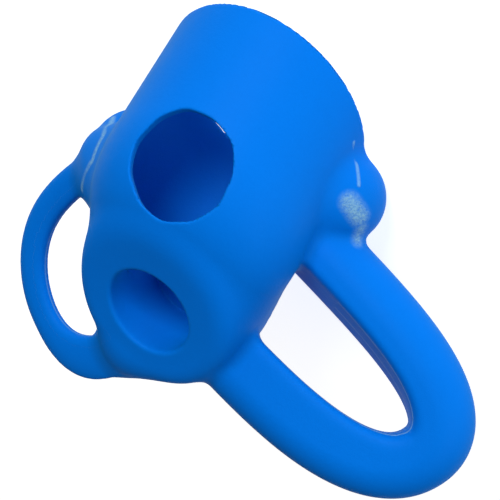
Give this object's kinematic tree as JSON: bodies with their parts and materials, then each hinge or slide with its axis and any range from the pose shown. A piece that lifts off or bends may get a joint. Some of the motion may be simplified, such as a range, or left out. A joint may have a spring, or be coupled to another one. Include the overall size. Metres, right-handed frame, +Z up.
{
  "type": "looped spout cup",
  "caption": "Soft one-piece moulded cup with a side hole, a thick round-lipped spout and two D-shaped finger loops that flex at their roots.",
  "frame": {"origin": "on the plane the mouth's rim rests on, under the middle of the part's bounding box", "axes": "+Z up from the mouth to the spout, -Y the front with the side hole, X across the two loops"},
  "size_m": [0.1338, 0.0958, 0.0582],
  "materials": {
    "silicone_cup": "satin blue silicone",
    "silicone_spout": "satin blue silicone",
    "silicone_loop": "satin blue silicone with fine parting lines",
    "silicone_root": "satin blue silicone, scuffed where flash was trimmed"
  },
  "bodies": {
    "cup_body": {"cup_wall": "silicone_cup", "spout_collar": "silicone_spout", "broad_mouth_root": "silicone_root", "broad_spout_root": "silicone_root", "slim_mouth_root": "silicone_root", "slim_spout_root": "silicone_root"},
    "broad_loop": {"broad_finger_loop": "silicone_loop"},
    "slim_loop": {"slim_finger_loop": "silicone_loop"}
  },
  "joints": [
    {"name": "broad_flex", "type": "hinge", "parent": "cup_body", "child": "broad_loop", "pos_m": [-0.01144, 0.01645, 0.03178], "axis": [0.5253, 0.5344, 0.6622], "range_deg": [-15, 15], "stiffness_Nm_per_rad": 0.9},
    {"name": "slim_flex", "type": "hinge", "parent": "cup_body", "child": "slim_loop", "pos_m": [0.04099, 0.02027, 0.04202], "axis": [-0.4734, 0.7319, 0.4901], "range_deg": [-15, 15], "stiffness_Nm_per_rad": 0.1}
  ]
}
